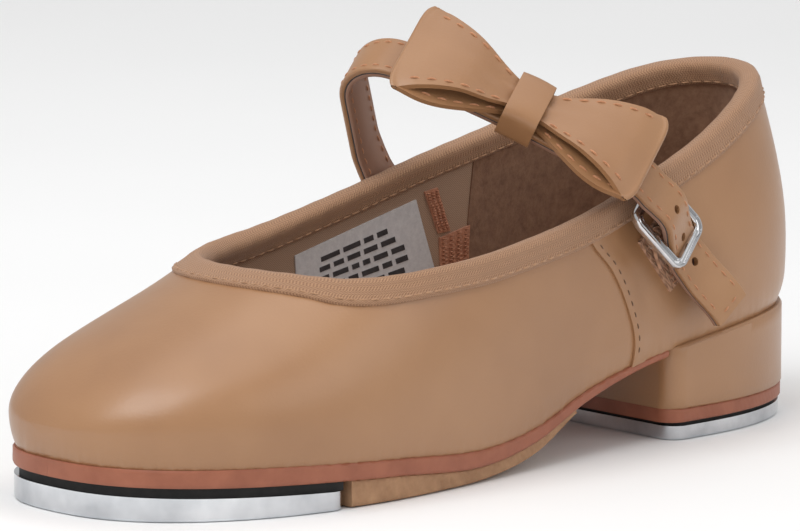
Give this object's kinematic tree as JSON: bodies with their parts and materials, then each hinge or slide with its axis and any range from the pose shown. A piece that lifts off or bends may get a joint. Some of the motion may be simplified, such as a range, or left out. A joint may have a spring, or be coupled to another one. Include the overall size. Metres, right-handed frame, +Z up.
{
  "type": "child's tap shoe",
  "caption": "Low-cut left tap shoe for a child, with an instep strap, side buckle, leather bow, block heel and aluminium taps under toe and heel.",
  "frame": {"origin": "on the floor, under the middle of the shoe's overall box", "axes": "-Y towards the toe, +Y towards the heel, +X towards the outer (buckle) side of the foot, +Z up; the taps rest on Z = 0"},
  "size_m": [0.0705, 0.1836, 0.0879],
  "materials": {
    "tan_leather": "smooth semi-gloss synthetic leather",
    "pink_brown_lining": "smooth, matt",
    "orange_textile": "woven, matt",
    "twill_lining": "twill weave, matt",
    "suede_lining": "napped, matt",
    "foam": "foam",
    "label_tape": "smooth printed tape",
    "woven_binding": "herringbone weave",
    "stiffener_board": "impregnated non-woven",
    "fibre_board": "pressed fibre",
    "brown_sole": "smooth edge, semi-matt",
    "black_board": "matt",
    "tan_rubber": "fine texture, rough skived edge",
    "tap_metal": "tumbled satin",
    "steel": "bright",
    "buckle_chrome": "polished"
  },
  "bodies": {
    "shoe": {"vamp": "tan_leather", "quarter_outer": "tan_leather", "quarter_inner": "tan_leather", "heel_cover": "tan_leather", "strap_root": "tan_leather", "strap_patch": "orange_textile", "vamp_lining": "twill_lining", "quarter_lining": "suede_lining", "sock_liner": "suede_lining", "heel_pad": "foam", "care_label": "label_tape", "lining_tape": "orange_textile", "topline_binding": "woven_binding", "buckle_elastic": "woven_binding", "toe_puff": "stiffener_board", "heel_counter": "stiffener_board", "insole_board": "fibre_board", "bottom_filler": "foam", "shank": "steel", "outsole": "brown_sole", "heel_lift": "brown_sole", "heel_core": "black_board", "sole_pad": "tan_rubber", "toe_tap_board": "black_board", "heel_tap_board": "black_board", "toe_tap": "tap_metal", "heel_tap": "tap_metal", "toe_tap_screws": "steel", "heel_tap_screws": "steel", "heel_screw": "steel", "heel_nails": "steel"},
    "strap": {"strap_outer": "tan_leather", "strap_lining": "pink_brown_lining"},
    "strap_end": {"strap_end_outer": "tan_leather", "strap_end_lining": "pink_brown_lining"},
    "bow": {"bow_loop": "tan_leather", "bow_knot": "tan_leather"},
    "buckle": {"buckle_frame": "buckle_chrome"},
    "tongue": {"buckle_tongue": "buckle_chrome"}
  },
  "joints": [
    {"name": "strap_swing", "type": "hinge", "parent": "shoe", "child": "strap", "pos_m": [-0.02865, 0.01352, 0.04863], "axis": [0.3106, -0.7688, -0.559], "range_deg": [0, 65]},
    {"name": "strap_end_bend", "type": "hinge", "parent": "strap", "child": "strap_end", "pos_m": [0.02715, 0.03372, 0.05189], "axis": [0.3106, -0.7688, -0.559], "range_deg": [-60, 0]},
    {"name": "bow_slide", "type": "hinge", "parent": "strap", "child": "bow", "pos_m": [-0.12338, 0.06474, -0.07448], "axis": [0.3106, -0.7688, -0.559], "range_deg": [-1.5, 1.5]},
    {"name": "buckle_pivot", "type": "hinge", "parent": "shoe", "child": "buckle", "pos_m": [0.02467, 0.03834, 0.04417], "axis": [0.3109, -0.7686, -0.559], "range_deg": [0, 8]},
    {"name": "tongue_pivot", "type": "hinge", "parent": "shoe", "child": "tongue", "pos_m": [0.02467, 0.03834, 0.04417], "axis": [0.3109, -0.7686, -0.559], "range_deg": [-3, 3]}
  ],
  "couplings": [
    {"joint": "strap_end_bend", "follows": "strap_swing", "ratio": -0.9}
  ]
}
